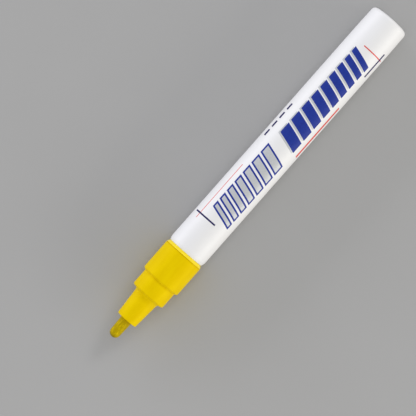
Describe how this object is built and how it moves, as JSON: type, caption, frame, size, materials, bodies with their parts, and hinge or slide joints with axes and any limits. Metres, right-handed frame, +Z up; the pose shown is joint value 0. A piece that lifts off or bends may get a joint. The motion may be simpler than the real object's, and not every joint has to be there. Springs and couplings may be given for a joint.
{
  "type": "paint marker",
  "caption": "Round-barrelled paint marker with a stepped yellow nose, a fibre bullet nib and a sprung pump valve that lets paint through when the nib is pressed.",
  "frame": {"origin": "on the surface that the marker lies on, below the middle of its length", "axes": "+X along the marker from the nib to the tail, +Z up from the surface it lies on"},
  "size_m": [0.137, 0.0142, 0.0142],
  "materials": {
    "barrel_lacquer": "gloss",
    "nose_plastic": "satin",
    "nib_fibre": "matte",
    "valve_plastic": "satin",
    "seal_rubber": "matte",
    "spring_steel": "satin",
    "ball_steel": "polished"
  },
  "bodies": {
    "marker": {"barrel": "barrel_lacquer", "nib_holder": "nose_plastic", "collar": "nose_plastic", "valve_housing": "valve_plastic", "spring_cage": "valve_plastic", "valve_spring": "spring_steel", "barrel_seal_ring": "seal_rubber", "housing_seal_ring": "seal_rubber"},
    "nib": {"nib": "nib_fibre"},
    "valve_stem": {"valve_stem": "valve_plastic", "stem_seal": "seal_rubber"},
    "mixing_ball": {"mixing_ball": "ball_steel"}
  },
  "joints": [
    {"name": "nib_press", "type": "slide", "parent": "marker", "child": "nib", "axis": [1, 0, 0], "range_m": [0, 0.0025], "stiffness_N_per_m": 600, "springref_m": -0.003},
    {"name": "valve_lift", "type": "slide", "parent": "marker", "child": "valve_stem", "axis": [1, 0, 0], "range_m": [0, 0.0025], "deforming": ["valve_spring"]},
    {"name": "ball_run", "type": "slide", "parent": "marker", "child": "mixing_ball", "axis": [1, 0, 0], "range_m": [-0.0705, 0]}
  ],
  "couplings": [
    {"joint": "valve_lift", "follows": "nib_press", "ratio": 1}
  ]
}
